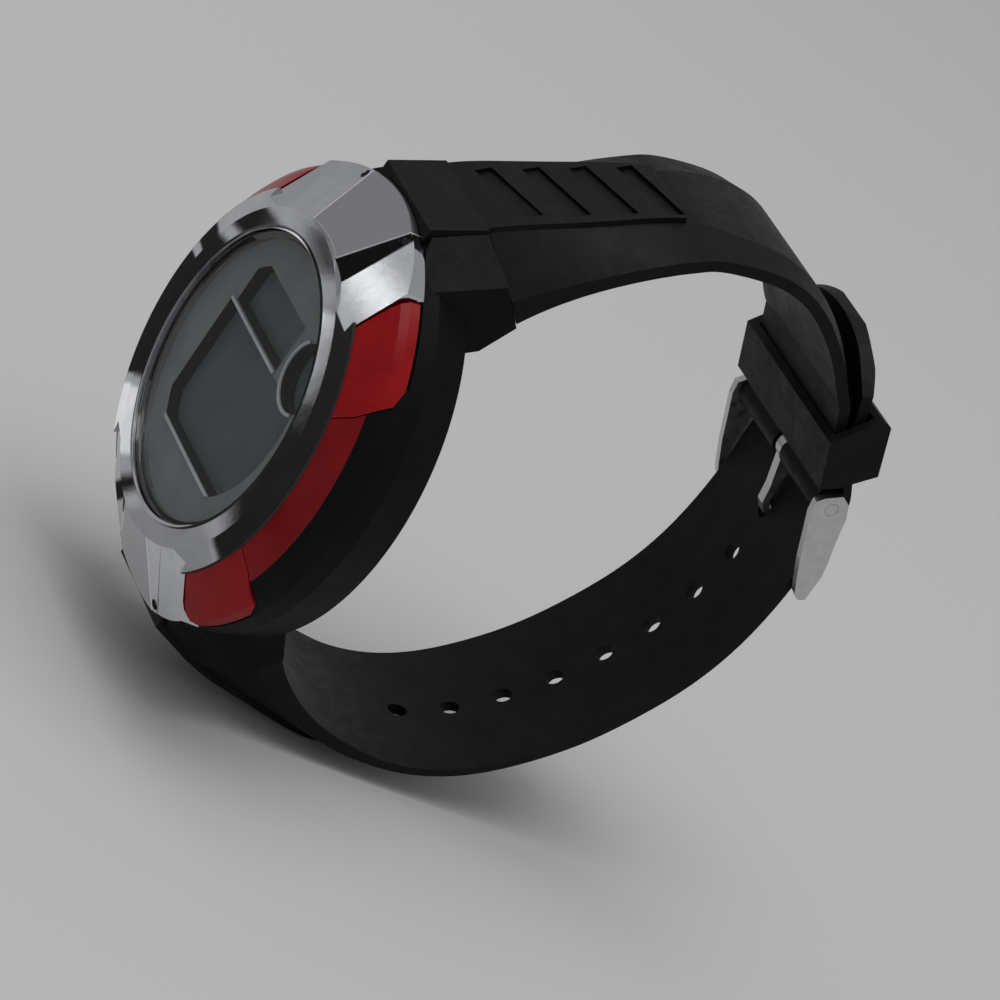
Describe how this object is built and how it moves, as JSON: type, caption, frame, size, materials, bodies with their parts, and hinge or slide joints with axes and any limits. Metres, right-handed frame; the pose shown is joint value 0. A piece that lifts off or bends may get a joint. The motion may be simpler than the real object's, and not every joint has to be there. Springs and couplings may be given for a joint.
{
  "type": "digital wristwatch",
  "caption": "Digital wristwatch with round chrome bezel, red push pads, resin case and a buckled resin strap closed into a loop.",
  "frame": {"origin": "centre of the back cover's wrist face", "axes": "+X toward 3 o'clock, +Z toward 12 o'clock, +Y from the crystal toward the wrist"},
  "size_m": [0.053, 0.0735, 0.0764],
  "materials": {
    "black_resin": "satin black resin",
    "chrome": "polished chrome plating",
    "dark_pin": "dark matte",
    "crystal": "clear",
    "seal_rubber": "matte black rubber",
    "mask": "dark grey with light bars",
    "display": "blank grey green display glass",
    "backlight": "pale diffuser sheet",
    "connector": "pink elastomer strip",
    "frame_plastic": "dark moulded plastic",
    "board": "green board",
    "spring_steel": "spring steel sheet",
    "battery": "cell can",
    "brass": "brass disc",
    "steel": "brushed steel",
    "red": "glossy red plastic",
    "strap": "matte black resin strap",
    "buckle_steel": "satin steel"
  },
  "bodies": {
    "watch": {"case_middle": "black_resin", "bezel": "chrome", "bezel_pins": "dark_pin", "crystal": "crystal", "crystal_gasket": "seal_rubber", "dial_mask": "mask", "display": "display", "backlight": "backlight", "connector_strips": "connector", "module_frame": "frame_plastic", "circuit_board": "board", "contact_springs": "spring_steel", "battery": "battery", "battery_clip": "spring_steel", "sounder": "brass", "back_cover": "steel", "cover_gasket": "seal_rubber", "cover_screws": "steel", "inlay_right": "red", "inlay_left": "red", "pusher_seals": "seal_rubber", "lug_bar_upper": "steel", "lug_bar_lower": "steel", "strap_upper": "strap", "strap_lower": "strap", "buckle_bar": "buckle_steel"},
    "pusher_2": {"pad_2": "red", "stem_2": "steel"},
    "pusher_4": {"pad_4": "red", "stem_4": "steel"},
    "pusher_8": {"pad_8": "red", "stem_8": "steel"},
    "pusher_10": {"pad_10": "red", "stem_10": "steel"},
    "keeper_loop": {"keeper": "strap"},
    "buckle": {"buckle_frame": "buckle_steel"},
    "prong": {"buckle_prong": "buckle_steel"}
  },
  "joints": [
    {"name": "press_2", "type": "slide", "parent": "watch", "child": "pusher_2", "axis": [-0.6428, 0, -0.766], "range_m": [0, 0.0005], "stiffness_N_per_m": 1500, "springref_m": -0.0005},
    {"name": "press_4", "type": "slide", "parent": "watch", "child": "pusher_4", "axis": [-0.6428, 0, 0.766], "range_m": [0, 0.0005], "stiffness_N_per_m": 1500, "springref_m": -0.0005},
    {"name": "press_8", "type": "slide", "parent": "watch", "child": "pusher_8", "axis": [0.6428, 0, 0.766], "range_m": [0, 0.0005], "stiffness_N_per_m": 1500, "springref_m": -0.0005},
    {"name": "press_10", "type": "slide", "parent": "watch", "child": "pusher_10", "axis": [0.6428, 0, -0.766], "range_m": [0, 0.0005], "stiffness_N_per_m": 1500, "springref_m": -0.0005},
    {"name": "keeper_slide", "type": "slide", "parent": "watch", "child": "keeper_loop", "axis": [0, -0.4305, 0.9026], "range_m": [-0.0006, 0.0012]},
    {"name": "buckle_hinge", "type": "hinge", "parent": "watch", "child": "buckle", "pos_m": [0, 0.0534, 0.0186], "axis": [1, 0, 0], "range_deg": [-1, 0]},
    {"name": "prong_hinge", "type": "hinge", "parent": "watch", "child": "prong", "pos_m": [0, 0.0534, 0.0186], "axis": [1, 0, 0], "range_deg": [0, 1.5]}
  ]
}
